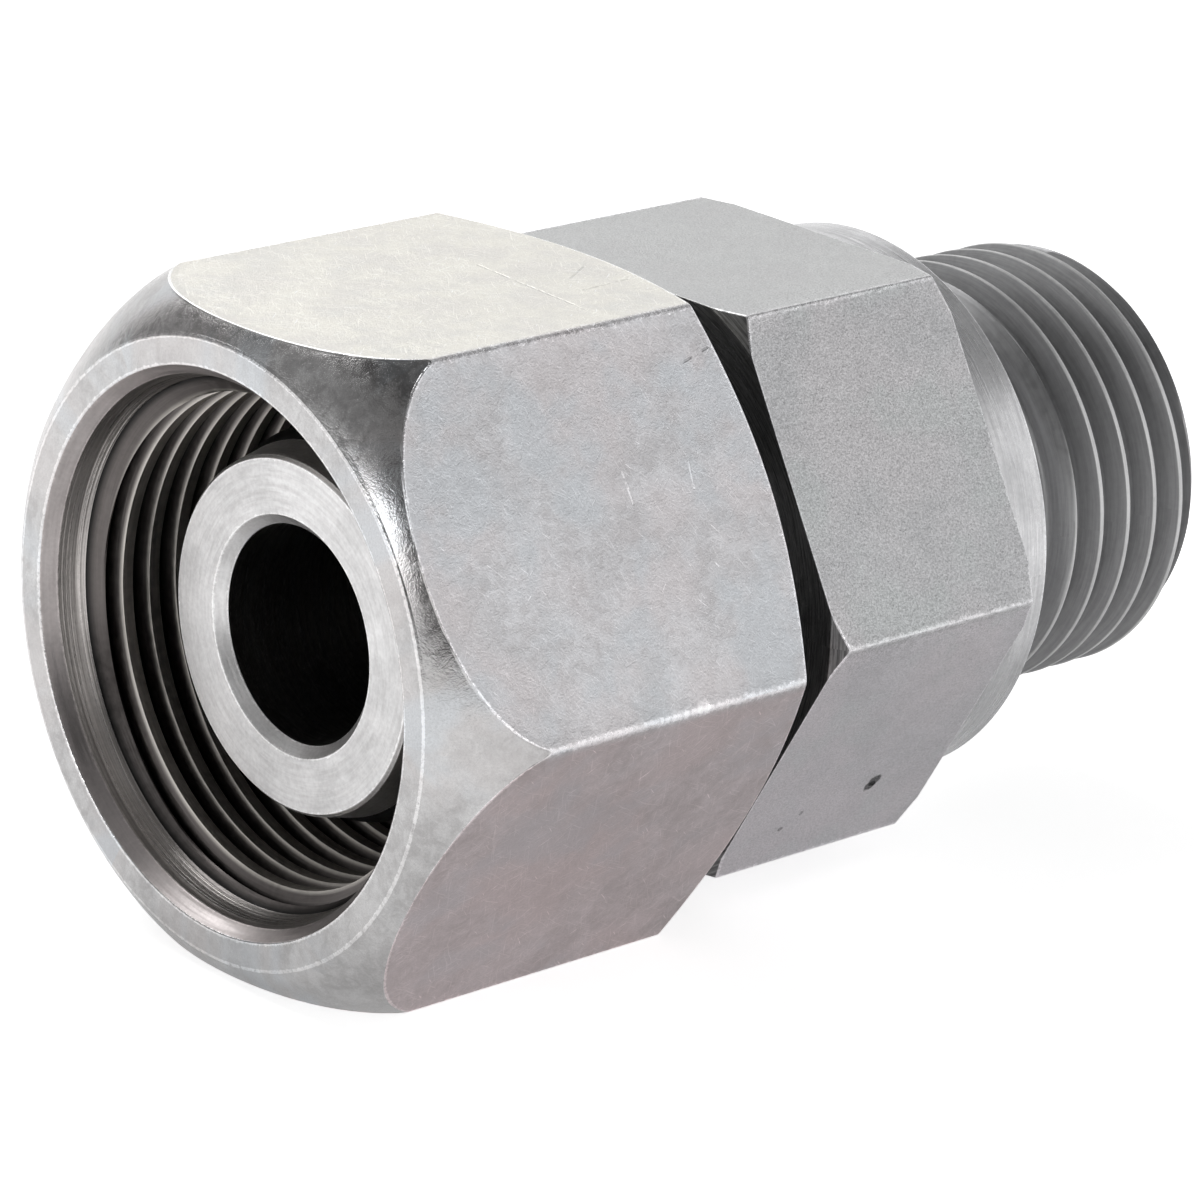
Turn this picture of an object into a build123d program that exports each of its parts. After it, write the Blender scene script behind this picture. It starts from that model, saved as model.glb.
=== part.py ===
from build123d import *
import os
from math import cos, degrees, pi, radians, sin, sqrt, tan

# Swivel-nut stud adaptor for hydraulic tube, lying on its hexagon flats.
# Millimetres, +Z up. The axis is X, the stud points to +X and the tube end to -X.
# The origin is on the axis, in the plane of the collar's sealing face.

# Stud with a G 1/2 parallel thread, shown as its plain outside cylinder
STUD_THREAD_DIAMETER = 20.955
STUD_LENGTH = 14.0
STUD_END_CHAMFER = 1.4
UNDERCUT_DEPTH = 1.4
UNDERCUT_LENGTH = 3.2

# Collar with the sealing face
COLLAR_DIAMETER = 26.5
COLLAR_LENGTH = 3.0
COLLAR_EDGE_CHAMFER = 0.3

# Hexagon of the body
BODY_ACROSS_FLATS = 27.0
BODY_HEX_LENGTH = 12.5
BODY_CORNER_TRIM = 0.85
CORNER_CHAMFER_ANGLE = 30.0

# Neck and 24 degree cone nipple for tube of 16 mm
NECK_LENGTH = 11.05
CONE_LENGTH = 7.75
CONE_HALF_ANGLE = 12.0
TIP_EDGE_CHAMFER = 0.15

# Through bore, 10 mm
WALL_AT_TIP = 3.15
BORE_TIP_CHAMFER = 0.5
BORE_STUD_CHAMFER = 1.0

# Rubber ring in the cone
ORING_THICKNESS = 2.0
ORING_STANDS_OUT = 0.2
ORING_FROM_TIP = 3.0
ORING_SIDE_CLEARANCE = 0.2

# Split wire ring that holds the nut on the neck
WIRE_DIAMETER = 2.0
WIRE_GROOVE_CLEARANCE = 0.08
WIRE_RING_GAP = 5.0
WIRE_FROM_HEX = 8.0

# Union nut with an M24 x 1.5 thread, shown as the plain bore through its crests
NUT_THREAD_DIAMETER = 24.0
NUT_THREAD_PITCH = 1.5
NUT_WALL_AT_FLATS = 3.0
NUT_LENGTH = 21.0
NUT_RIM_WIDTH = 1.27
NUT_RIM_EDGE_RADIUS = 0.4
NUT_FRONT_ROUNDING = 6.8
NUT_REAR_CORNER_TRIM = 3.2
NUT_COUNTERSINK_DEPTH = 2.0
NUT_COUNTERSINK_STEP = 0.35
NUT_MOUTH_CHAMFER_DEPTH = 0.7
NUT_MOUTH_CHAMFER_STEP = 0.5
NUT_RELIEF_LENGTH = 2.4
NUT_RELIEF_DEPTH = 0.15
NUT_SHOULDER_ANGLE = 45.0
NUT_REAR_HOLE_CLEARANCE = 0.3
NUT_REAR_HOLE_CHAMFER = 0.5

# Room for the wire ring as the nut's thread passes over it
WIRE_CLEARANCE_IN_THREAD = 0.39

# Play of the loose nut along the axis
NUT_GAP_TO_HEX = 2.0
NUT_FORWARD_PLAY = 0.8
NUT_STOP_CLEARANCE = 0.1

# A hexagon's envelope passes this far outside its corners, so that it cuts them cleanly
ENVELOPE_MARGIN = 0.08

# Radii worked out from the diameters
stud_radius = STUD_THREAD_DIAMETER / 2
collar_radius = COLLAR_DIAMETER / 2
wire_radius = WIRE_DIAMETER / 2
oring_radius = ORING_THICKNESS / 2
body_corner_radius = BODY_ACROSS_FLATS / 2 / cos(pi / 6)
nut_across_flats = NUT_THREAD_DIAMETER + 2 * NUT_WALL_AT_FLATS
nut_corner_radius = nut_across_flats / 2 / cos(pi / 6)
nut_thread_radius = NUT_THREAD_DIAMETER / 2
nut_crest_radius = nut_thread_radius - 5 / 16 * sqrt(3) * NUT_THREAD_PITCH
nut_relief_radius = nut_thread_radius + NUT_RELIEF_DEPTH
nut_countersink_radius = nut_thread_radius + NUT_COUNTERSINK_STEP
nut_mouth_radius = nut_countersink_radius + NUT_MOUTH_CHAMFER_STEP
neck_radius = nut_crest_radius - WIRE_CLEARANCE_IN_THREAD - wire_radius
tip_radius = neck_radius - CONE_LENGTH * tan(radians(CONE_HALF_ANGLE))
bore_radius = tip_radius - WALL_AT_TIP
nut_hole_radius = neck_radius + NUT_REAR_HOLE_CLEARANCE

# Stations along the axis
hex_rear = -COLLAR_LENGTH
hex_front = hex_rear - BODY_HEX_LENGTH
hex_middle = (hex_rear + hex_front) / 2
cone_end = hex_front - NECK_LENGTH
tip = cone_end - CONE_LENGTH
oring_station = tip + ORING_FROM_TIP
wire_station = hex_front - WIRE_FROM_HEX
nut_rear = hex_front - NUT_GAP_TO_HEX
nut_front = nut_rear - NUT_LENGTH


def turned(outline):
    """Solid of revolution about X from a closed outline of (station, radius) points."""
    return revolve(Plane.XZ * make_face(Polyline(*outline, close=True)), Axis.X)


def wire_torus(station, radius, thickness_radius, arc=360.0):
    """Round bar bent about the axis, through the given arc in degrees."""
    section = Plane.XZ * Pos(station, radius) * Circle(thickness_radius)
    return revolve(section, Axis.X, revolution_arc=arc)


def hexagon_bar(across_flats, start, end):
    """Hexagon bar along X with flats at the top and the bottom."""
    section = RegularPolygon(across_flats / 2, 6, major_radius=False)
    return extrude(Plane.YZ.offset(start) * section, end - start)


def chamfer_run(trim):
    """Length along the axis of a corner chamfer that starts 'trim' inside the corner."""
    return (trim + ENVELOPE_MARGIN) * tan(radians(CORNER_CHAMFER_ANGLE))


def body_hexagon():
    """The body's hexagon, faced at both ends with its corners chamfered."""
    outside = body_corner_radius + ENVELOPE_MARGIN
    face_radius = body_corner_radius - BODY_CORNER_TRIM
    run = chamfer_run(BODY_CORNER_TRIM)
    envelope = turned([
        (hex_front, 0),
        (hex_front, face_radius),
        (hex_front + run, outside),
        (hex_rear - run, outside),
        (hex_rear, face_radius),
        (hex_rear, 0),
    ])
    return hexagon_bar(BODY_ACROSS_FLATS, hex_front, hex_rear) & envelope


def body_turning():
    """Everything that the lathe leaves round: nipple, neck, collar, undercut and stud."""
    undercut_radius = stud_radius - UNDERCUT_DEPTH
    return turned([
        (tip, 0),
        (tip, tip_radius - TIP_EDGE_CHAMFER),
        (tip + TIP_EDGE_CHAMFER, tip_radius),
        (cone_end, neck_radius),
        (hex_middle, neck_radius),
        (hex_middle, collar_radius),
        (-COLLAR_EDGE_CHAMFER, collar_radius),
        (0, collar_radius - COLLAR_EDGE_CHAMFER),
        (0, undercut_radius),
        (UNDERCUT_LENGTH, undercut_radius),
        (UNDERCUT_LENGTH + UNDERCUT_DEPTH, stud_radius),
        (STUD_LENGTH - STUD_END_CHAMFER, stud_radius),
        (STUD_LENGTH, stud_radius - STUD_END_CHAMFER),
        (STUD_LENGTH, 0),
    ])


def flow_bore():
    """Through bore with a chamfer at each mouth."""
    return turned([
        (tip, 0),
        (tip, bore_radius + BORE_TIP_CHAMFER),
        (tip + BORE_TIP_CHAMFER, bore_radius),
        (STUD_LENGTH - BORE_STUD_CHAMFER, bore_radius),
        (STUD_LENGTH, bore_radius + BORE_STUD_CHAMFER),
        (STUD_LENGTH, 0),
    ])


def oring_centre_radius():
    """Radius of the rubber ring's centre line, so that it stands out of the cone."""
    cone_radius = tip_radius + (oring_station - tip) * tan(radians(CONE_HALF_ANGLE))
    return cone_radius + ORING_STANDS_OUT - oring_radius


def oring_groove():
    """Square groove for the rubber ring."""
    floor = oring_centre_radius() - oring_radius
    half_width = oring_radius + ORING_SIDE_CLEARANCE
    return turned([
        (oring_station - half_width, floor),
        (oring_station - half_width, neck_radius),
        (oring_station + half_width, neck_radius),
        (oring_station + half_width, floor),
    ])


def wire_groove():
    """Half-round groove in the neck for the wire ring."""
    radius = wire_radius + WIRE_GROOVE_CLEARANCE
    front = (wire_station - radius, neck_radius)
    rear = (wire_station + radius, neck_radius)
    floor = ThreePointArc(front, (wire_station, neck_radius - radius), rear)
    mouth = Polyline(
        rear,
        (wire_station + radius, nut_hole_radius),
        (wire_station - radius, nut_hole_radius),
        front,
    )
    return revolve(Plane.XZ * make_face(floor + mouth), Axis.X)


def make_stud_body():
    """The one-piece body."""
    return body_turning() + body_hexagon() - flow_bore() - oring_groove() - wire_groove()


def make_cone_oring():
    """Rubber ring on the floor of its groove."""
    return wire_torus(oring_station, oring_centre_radius(), oring_radius)


def make_retaining_ring():
    """Split wire ring with its gap at the bottom."""
    gap_angle = degrees(WIRE_RING_GAP / neck_radius)
    ring = wire_torus(wire_station, neck_radius, wire_radius, 360 - gap_angle)
    return Rot(X=180 + gap_angle / 2) * ring


def nut_envelope():
    """Turned outside of the nut: rounded at the front, chamfered at the rear."""
    outside = nut_corner_radius + ENVELOPE_MARGIN
    rim_radius = nut_mouth_radius + NUT_RIM_WIDTH
    centre_radius = outside - NUT_FRONT_ROUNDING
    rounding_run = sqrt(NUT_FRONT_ROUNDING**2 - (rim_radius - centre_radius) ** 2)
    rounding_end = (nut_front + rounding_run, outside)
    rim = (nut_front, rim_radius)
    rounding = TangentArc(rounding_end, rim, tangent=(-1, 0))
    rest = Polyline(
        rim,
        (nut_front, 0),
        (nut_rear, 0),
        (nut_rear, nut_corner_radius - NUT_REAR_CORNER_TRIM),
        (nut_rear - chamfer_run(NUT_REAR_CORNER_TRIM), outside),
        rounding_end,
    )
    section = make_face(rounding + rest)
    rim_corner = section.vertices().sort_by_distance((*rim, 0))[0]
    return revolve(Plane.XZ * fillet(rim_corner, NUT_RIM_EDGE_RADIUS), Axis.X)


def nut_inside():
    """Space inside the nut, from the mouth through the thread and the shoulder to the rear hole."""
    thread_start = nut_front + NUT_COUNTERSINK_DEPTH
    angle = radians(NUT_SHOULDER_ANGLE)
    shoulder_end = (
        wire_station
        + NUT_FORWARD_PLAY
        + (wire_radius + NUT_STOP_CLEARANCE) / sin(angle)
        - (nut_hole_radius - neck_radius) / tan(angle)
    )
    shoulder_start = shoulder_end - (nut_relief_radius - nut_hole_radius) / tan(angle)
    thread_end = shoulder_start - NUT_RELIEF_LENGTH
    return turned([
        (nut_front, 0),
        (nut_front, nut_mouth_radius),
        (nut_front + NUT_MOUTH_CHAMFER_DEPTH, nut_countersink_radius),
        (thread_start, nut_thread_radius),
        (thread_start + nut_thread_radius - nut_crest_radius, nut_crest_radius),
        (thread_end, nut_crest_radius),
        (thread_end + nut_relief_radius - nut_crest_radius, nut_relief_radius),
        (shoulder_start, nut_relief_radius),
        (shoulder_end, nut_hole_radius),
        (nut_rear - NUT_REAR_HOLE_CHAMFER, nut_hole_radius),
        (nut_rear, nut_hole_radius + NUT_REAR_HOLE_CHAMFER),
        (nut_rear, 0),
    ])


def make_swivel_nut():
    """The union nut."""
    bar = hexagon_bar(nut_across_flats, nut_front, nut_rear)
    return (bar & nut_envelope()) - nut_inside()


os.makedirs("parts", exist_ok=True)
export_step(make_stud_body(), "parts/stud_body.step")
export_step(make_swivel_nut(), "parts/swivel_nut.step")
export_step(make_cone_oring(), "parts/cone_oring.step")
export_step(make_retaining_ring(), "parts/retaining_ring.step")
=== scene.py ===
from dataclasses import dataclass, replace
from math import asin, atan2, ceil, cos, pi, radians, sin, sqrt, tan

import bmesh
import bpy
import numpy as np
from mathutils import Matrix, Vector


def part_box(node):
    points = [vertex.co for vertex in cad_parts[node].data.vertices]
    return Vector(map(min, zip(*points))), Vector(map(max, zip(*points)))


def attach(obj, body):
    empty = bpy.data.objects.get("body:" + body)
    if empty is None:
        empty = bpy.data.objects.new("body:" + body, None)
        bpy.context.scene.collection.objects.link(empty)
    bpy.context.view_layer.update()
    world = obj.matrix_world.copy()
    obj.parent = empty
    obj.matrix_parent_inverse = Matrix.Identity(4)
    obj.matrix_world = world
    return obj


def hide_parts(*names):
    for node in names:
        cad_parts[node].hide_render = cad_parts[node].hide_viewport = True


# Straight hydraulic tube fitting: a union nut that swivels on a one-piece hexagon body.
# Metres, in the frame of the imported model: the axis is X, the stud points to +X, +Z is up.

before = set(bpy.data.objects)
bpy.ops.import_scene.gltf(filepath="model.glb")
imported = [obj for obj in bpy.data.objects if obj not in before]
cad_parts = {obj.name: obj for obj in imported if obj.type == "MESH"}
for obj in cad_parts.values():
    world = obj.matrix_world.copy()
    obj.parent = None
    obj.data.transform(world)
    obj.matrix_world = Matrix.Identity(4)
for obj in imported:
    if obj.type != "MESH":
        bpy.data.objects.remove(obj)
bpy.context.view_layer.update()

MM = 0.001

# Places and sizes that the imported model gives
nut_low, nut_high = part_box("swivel_nut")
body_low, body_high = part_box("stud_body")
oring_low, oring_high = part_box("cone_oring")
wire_low, wire_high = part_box("retaining_ring")
NUT_FRONT = nut_low.x
NUT_REAR = nut_high.x
NUT_HALF_FLATS = nut_high.z
TIP = body_low.x
STUD_END = body_high.x
BODY_HALF_FLATS = body_high.z
FLOOR = nut_low.z
ORING_STATION = (oring_low.x + oring_high.x) / 2
ORING_THICKNESS = oring_high.x - oring_low.x
ORING_OUTER = oring_high.y
WIRE_STATION = (wire_low.x + wire_high.x) / 2
WIRE_RADIUS = (wire_high.x - wire_low.x) / 2
NECK_RADIUS = wire_high.y - WIRE_RADIUS

# Hexagons
SIDES = 6
SIDE_ANGLE = 2 * pi / SIDES
CORNER_CHAMFER = radians(30)
ENVELOPE_MARGIN = 0.08 * MM

# Union nut
NUT_THREAD_RADIUS = 12.0 * MM
NUT_CREST_RADIUS = 11.188 * MM
NUT_PITCH = 1.5 * MM
NUT_THREAD_OFFSET = 0.3 * MM
NUT_MOUTH_RADIUS = 12.85 * MM
NUT_MOUTH_CHAMFER = 0.7 * MM
NUT_COUNTERSINK_RADIUS = 12.35 * MM
NUT_COUNTERSINK_DEPTH = 2.0 * MM
NUT_RIM_WIDTH = 1.27 * MM
NUT_RIM_EDGE = 0.4 * MM
NUT_ROUNDING = 6.8 * MM
NUT_REAR_TRIM = 3.2 * MM
NUT_RELIEF_RADIUS = 12.15 * MM
NUT_RELIEF_LENGTH = 2.4 * MM
NUT_HOLE_CLEARANCE = 0.3 * MM
NUT_HOLE_CHAMFER = 0.5 * MM
SHOULDER_BEHIND_WIRE = 2.056 * MM

# Body
COLLAR_RADIUS = 13.25 * MM
COLLAR_LENGTH = 3.0 * MM
COLLAR_EDGE = 0.3 * MM
HEX_LENGTH = 12.5 * MM
BODY_CORNER_TRIM = 0.85 * MM
CONE_LENGTH = 7.75 * MM
CONE_HALF_ANGLE = radians(12)
TIP_EDGE = 0.15 * MM
BORE_RADIUS = 5.0 * MM
BORE_TIP_CHAMFER = 0.5 * MM
BORE_STUD_CHAMFER = 1.0 * MM
ORING_SIDE_CLEARANCE = 0.2 * MM
WIRE_GROOVE_CLEARANCE = 0.08 * MM
STUD_RADIUS = 10.4775 * MM
STUD_ROOT_RADIUS = 9.3155 * MM
STUD_PITCH = 1.8143 * MM
STUD_THREAD_OFFSET = 0.48 * MM
UNDERCUT_RADIUS = 9.0775 * MM
UNDERCUT_LENGTH = 3.2 * MM

# Edges that plating and handling leave soft
SHARP_EDGE = 0.05 * MM
SOFT_EDGE = 0.12 * MM
NUT_EDGE = 0.34 * MM
NUT_CORNER_EDGE = 0.4 * MM
BODY_CORNER_EDGE = 0.14 * MM

# Fineness of the meshes
COLUMNS_PER_SIDE = 48
COLUMNS = SIDES * COLUMNS_PER_SIDE
CROWDING = 0.94
ARC_RINGS = 14
EDGE_RINGS = 3
RIM_RINGS = 5
ROWS_PER_TURN = 16
WELD = 0.0004 * MM

# Patterns of the finishes, in features per metre
CRYSTALS = 1500.0
BLOTCHES = 330.0
WARM_CLOUDS = 170.0
COOL_CLOUDS = 240.0
EDGE_CHIPS = 1300.0
WEAR_BREAKS = 4000.0
SCRATCH_BENDS = 350.0
GOUGE_BREAKS = 2500.0
TURNED_BLOTCHES = 300.0
TURNED_GRAIN = 5200.0
THREAD_LINES = 7000.0
THREAD_GRAIN = 3000.0
WIRE_LINES = 8000.0
RUBBER_BLOOM = 900.0
RUBBER_GRAIN = 6000.0

# Width of a straight scratch
GOUGE_WIDTH = 0.14 * MM

# Normal of an upper side flat, outwards and upwards
SIDE_FLAT_OUT = 0.866
SIDE_FLAT_UP = 0.5

# Light tent: levels of light, and where they change, as heights or cosines
BACKDROP_SIDE = (0.64, 0.69, 0.34)
BACKDROP_EDGE = (-0.6, 0.7)
TENT_FRONT = 0.9
TENT_LEFT_SLOPE = 0.12
CEILING_EDGE = (0.5, 0.62)
TENT_CEILING = 0.3
ZENITH_EDGE = (0.84, 0.96)
TENT_ZENITH = 0.35

# Dark places of the tent: direction, cosines of the outer and inner edge, and level
CAMERA_OPENING = ((-0.7, -0.62, 0.36), 0.84, 0.9, 0.15)
REAR_GAP = ((-0.42, 0.88, 0.22), 0.88, 0.96, 0.25)

# Floor: its reach, the lift that the camera sees, and the glow in reflections by distance
FLOOR_REACH = 3.0
FLOOR_WHITE = 0.7
FLOOR_GLOW_EDGE = (0.03, 0.08)
FLOOR_GLOW = (0.25, 0.55)

# Lamps: place and size in metres, and power in watts
TOP_PANEL = ((-0.02, 0.36, 0.46), 0.4, 1.6)
KEY_PANEL = ((-0.62, -0.04, 0.19), 0.16, 0.26)
SIDE_PANEL = ((0.06, -0.54, 0.25), 0.18, 0.3)

# Camera, as in the photograph
CAMERA_PLACE = Vector((-183.15, -182.28, 86.42)) * MM
CAMERA_TARGET = Vector((-14.46, 1.59, -2.8)) * MM
CAMERA_ROLL = radians(2.73)
CAMERA_LENS = 170.87

# Rings beside each edge, where the wear fades out
WEAR_FADE = ((0.03 * MM, 0.85), (0.12 * MM, 0.5), (0.4 * MM, 0.0))

EVEN_ANGLES = np.arange(COLUMNS) * 2 * pi / COLUMNS
ANGLES = EVEN_ANGLES - CROWDING / SIDES * np.sin(SIDES * EVEN_ANGLES)


def add_node(tree, kind, inputs=None, **settings):
    """Adds a node. Each input is a value, or the output socket that feeds it."""
    made = tree.nodes.new(kind)
    for name, value in settings.items():
        setattr(made, name, value)
    for name, value in (inputs or {}).items():
        if isinstance(value, bpy.types.NodeSocket):
            tree.links.new(value, made.inputs[name])
        else:
            made.inputs[name].default_value = value
    return made


def calc(tree, operation, *values, clamp=False):
    """Result of one math node, for values that are numbers or sockets."""
    inputs = dict(enumerate(values))
    return add_node(tree, "ShaderNodeMath", inputs, operation=operation, use_clamp=clamp).outputs[0]


def parts_of(tree, place):
    """X, Y and Z of a place."""
    return add_node(tree, "ShaderNodeSeparateXYZ", {0: place}).outputs


def place_of(tree, x, y, z):
    """Place from its X, Y and Z."""
    return add_node(tree, "ShaderNodeCombineXYZ", {"X": x, "Y": y, "Z": z}).outputs[0]


@dataclass
class Corner:
    """Corner of an outline. Station and radius are numbers, or one value for each column."""
    station: object
    radius: object
    edge: float = 0.0
    finish: int = 0
    faceted: bool = False
    burnish: float = 0.0

    def points(self):
        return np.array([np.broadcast_to(v, COLUMNS) for v in (self.station, self.radius)], float)


def hexagon_radius(half_flats, edge):
    """Distance of the hexagon from the axis at each column, with its corners rounded by an edge radius."""
    off_corner = (ANGLES + SIDE_ANGLE / 2) % SIDE_ANGLE - SIDE_ANGLE / 2
    flat = half_flats / np.cos(SIDE_ANGLE / 2 - np.abs(off_corner))
    centre = (half_flats - edge) / cos(SIDE_ANGLE / 2)
    touch = atan2(edge * sin(SIDE_ANGLE / 2), centre + edge * cos(SIDE_ANGLE / 2))
    inside = np.maximum(edge**2 - (centre * np.sin(off_corner)) ** 2, 0)
    arc = centre * np.cos(off_corner) + np.sqrt(inside)
    return np.where(np.abs(off_corner) < touch, arc, flat)


def corner_wear():
    """Wear along the hexagon's corners, for each column."""
    off_corner = (ANGLES + SIDE_ANGLE / 2) % SIDE_ANGLE - SIDE_ANGLE / 2
    away = np.abs(off_corner) * BODY_HALF_FLATS - BODY_CORNER_EDGE / 2
    return np.interp(away, [0, WEAR_FADE[-1][0]], [1, 0])


def rings_of(corners):
    """Rings along an open outline. Its edges become small arcs, with rings beside them that fade the wear."""
    rings = []
    lengthwise = corner_wear()

    def put(points, wear, corner):
        rings.append((points, np.maximum(wear, lengthwise if corner.faceted else 0.0), corner.finish))

    places = [corner.points() for corner in corners]
    for i, corner in enumerate(corners):
        here = places[i]
        if not corner.edge:
            put(here, corner.burnish, corner)
            continue
        to_last = places[i - 1] - here
        to_next = places[i + 1] - here
        last_length = np.maximum(np.linalg.norm(to_last, axis=0), 1e-9)
        next_length = np.maximum(np.linalg.norm(to_next, axis=0), 1e-9)
        to_last = to_last / last_length
        to_next = to_next / next_length
        turn = np.arccos(np.clip(-(to_last * to_next).sum(axis=0), -1, 1))
        cut = np.minimum(corner.edge * np.tan(turn / 2), 0.3 * np.minimum(last_length, next_length))
        for reach, wear in reversed(WEAR_FADE):
            put(here + to_last * np.minimum(cut + reach, 0.45 * last_length), wear, corners[i - 1])
        for step in range(EDGE_RINGS + 2):
            t = step / (EDGE_RINGS + 1)
            start = here + to_last * cut
            end = here + to_next * cut
            put((1 - t) ** 2 * start + 2 * t * (1 - t) * here + t**2 * end, 1.0, corner)
        for reach, wear in WEAR_FADE:
            put(here + to_next * np.minimum(cut + reach, 0.45 * next_length), wear, corner)
    return rings


def skin_of(corners):
    """Points, faces, finishes and wear of the surface that an outline sweeps around the axis."""
    rings = rings_of(corners)
    points = []
    wear = []
    for (station, radius), ring_wear, _ in rings:
        points.append(np.stack([station, radius * np.cos(ANGLES), radius * np.sin(ANGLES)], axis=1))
        wear.append(np.broadcast_to(ring_wear, COLUMNS))
    column = np.arange(COLUMNS)
    following = (column + 1) % COLUMNS
    faces = []
    finishes = []
    for i in range(len(rings) - 1):
        here = i * COLUMNS
        after = here + COLUMNS
        faces.append(np.stack([here + column, here + following, after + following, after + column], axis=1))
        finishes.append(np.full(COLUMNS, rings[i][2]))
    return np.concatenate(points), np.concatenate(faces), np.concatenate(finishes), np.concatenate(wear)


def thread_tree():
    """Geometry nodes that make the turns of a screw thread between two cones."""
    tree = bpy.data.node_groups.new("thread_turns", "GeometryNodeTree")
    face = tree.interface
    sizes = ("Start", "End", "Start radius", "End radius", "Root radius", "Crest radius", "Pitch",
             "Offset", "Root flat", "Crest flat", "Roundness", "Side", "Crowding")
    for name in ("Columns", "Rows"):
        face.new_socket(name=name, in_out="INPUT", socket_type="NodeSocketInt")
    for name in sizes:
        face.new_socket(name=name, in_out="INPUT", socket_type="NodeSocketFloat")
    face.new_socket(name="Finish", in_out="INPUT", socket_type="NodeSocketMaterial")
    face.new_socket(name="Geometry", in_out="OUTPUT", socket_type="NodeSocketGeometry")
    given = add_node(tree, "NodeGroupInput").outputs

    def do(operation, *values, clamp=False):
        return calc(tree, operation, *values, clamp=clamp)

    grid = add_node(tree, "GeometryNodeMeshGrid", {
        "Size X": 1.0,
        "Size Y": 1.0,
        "Vertices X": do("ADD", given["Columns"], 1.0),
        "Vertices Y": do("ADD", given["Rows"], 1.0),
    })
    place = parts_of(tree, add_node(tree, "GeometryNodeInputPosition").outputs[0])
    around = do("ADD", place["X"], 0.5)
    along = do("ADD", place["Y"], 0.5)

    # Columns crowd together at the hexagon's corners, as they do in the rest of the mesh
    even = do("MULTIPLY", around, 2 * pi)
    crowd = do("DIVIDE", given["Crowding"], float(SIDES))
    angle = do("SUBTRACT", even, do("MULTIPLY", do("SINE", do("MULTIPLY", even, float(SIDES))), crowd))
    climb = do("MULTIPLY", given["Pitch"], do("DIVIDE", angle, 2 * pi))

    # Rows follow the helix and stop at the two ends
    row_step = do("DIVIDE", given["Pitch"], float(ROWS_PER_TURN))
    row = do("MULTIPLY", do("MULTIPLY", along, given["Rows"]), row_step)
    helix_start = do("ADD", given["Start"], given["Offset"])
    before = do("SUBTRACT", helix_start, do("MULTIPLY", given["Pitch"], 2.0))
    free = do("ADD", do("ADD", before, row), climb)
    station = do("MINIMUM", do("MAXIMUM", free, given["Start"]), given["End"])

    # Height over the root, 0 to 1, with flats or rounded
    phase = do("DIVIDE", do("SUBTRACT", do("SUBTRACT", station, climb), helix_start), given["Pitch"])
    wave = do("ABSOLUTE", do("SUBTRACT", do("MULTIPLY", do("FRACT", phase), 2.0), 1.0))
    flank = do("SUBTRACT", do("SUBTRACT", 1.0, given["Crest flat"]), given["Root flat"])
    flat_topped = do("DIVIDE", do("SUBTRACT", wave, given["Root flat"]), flank, clamp=True)
    square = do("MULTIPLY", wave, wave)
    round_topped = do("MULTIPLY", square, do("SUBTRACT", 3.0, do("MULTIPLY", wave, 2.0)))
    blend = do("MULTIPLY", do("SUBTRACT", round_topped, flat_topped), given["Roundness"])
    height = do("ADD", flat_topped, blend)

    # Radius, cut by the cones at the two ends
    depth = do("SUBTRACT", given["Crest radius"], given["Root radius"])
    side = given["Side"]
    thread = do("MULTIPLY", do("ADD", given["Root radius"], do("MULTIPLY", height, depth)), side)
    first_radius = do("MULTIPLY", given["Start radius"], side)
    last_radius = do("MULTIPLY", given["End radius"], side)
    first_cone = do("ADD", first_radius, do("SUBTRACT", station, given["Start"]))
    last_cone = do("ADD", last_radius, do("SUBTRACT", given["End"], station))
    radius = do("MULTIPLY", do("MINIMUM", thread, do("MINIMUM", first_cone, last_cone)), side)
    y = do("MULTIPLY", radius, do("COSINE", angle))
    z = do("MULTIPLY", radius, do("SINE", angle))
    # Height over the root, stored as wear: it sets the crest's burnish and the painted shade of flanks and
    # roots.
    burnish = do("DIVIDE", do("SUBTRACT", radius, given["Root radius"]), depth, clamp=True)
    named = add_node(tree, "GeometryNodeStoreNamedAttribute", {
        "Geometry": grid.outputs["Mesh"],
        "Name": "wear",
        "Value": burnish,
    }, data_type="FLOAT", domain="POINT")
    moved = add_node(tree, "GeometryNodeSetPosition", {
        "Geometry": named.outputs["Geometry"],
        "Position": place_of(tree, station, y, z),
    })
    real = add_node(tree, "GeometryNodeRealizeInstances", {"Geometry": moved.outputs[0]})
    finished = add_node(tree, "GeometryNodeSetMaterial", {
        "Geometry": real.outputs[0],
        "Material": given["Finish"],
    })
    add_node(tree, "NodeGroupOutput", {"Geometry": finished.outputs[0]})
    return tree


def thread_skin(tree, finish, finish_number, **sizes):
    """Points, faces, finishes and wear of a screw thread, from the geometry nodes."""
    turns = (sizes["End"] - sizes["Start"]) / sizes["Pitch"] + 2
    inputs = dict(sizes, Columns=COLUMNS, Rows=ceil(turns * ROWS_PER_TURN), Crowding=CROWDING, Finish=finish)
    carrier = bpy.data.objects.new("thread", bpy.data.meshes.new("thread"))
    bpy.context.scene.collection.objects.link(carrier)
    modifier = carrier.modifiers.new("thread", "NODES")
    modifier.node_group = tree
    for item in tree.interface.items_tree:
        if item.item_type == "SOCKET" and item.in_out == "INPUT":
            modifier[item.identifier] = inputs[item.name]
    graph = bpy.context.evaluated_depsgraph_get()
    mesh = bpy.data.meshes.new_from_object(carrier.evaluated_get(graph), depsgraph=graph)
    carrier.modifiers.clear()
    points = np.zeros(len(mesh.vertices) * 3)
    mesh.vertices.foreach_get("co", points)
    faces = np.array([face.vertices[:] for face in mesh.polygons])
    wear = np.zeros(len(mesh.vertices))
    mesh.attributes["wear"].data.foreach_get("value", wear)
    bpy.data.objects.remove(carrier)
    bpy.data.meshes.remove(mesh)
    return points.reshape(-1, 3), faces, np.full(len(faces), finish_number), wear


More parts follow.
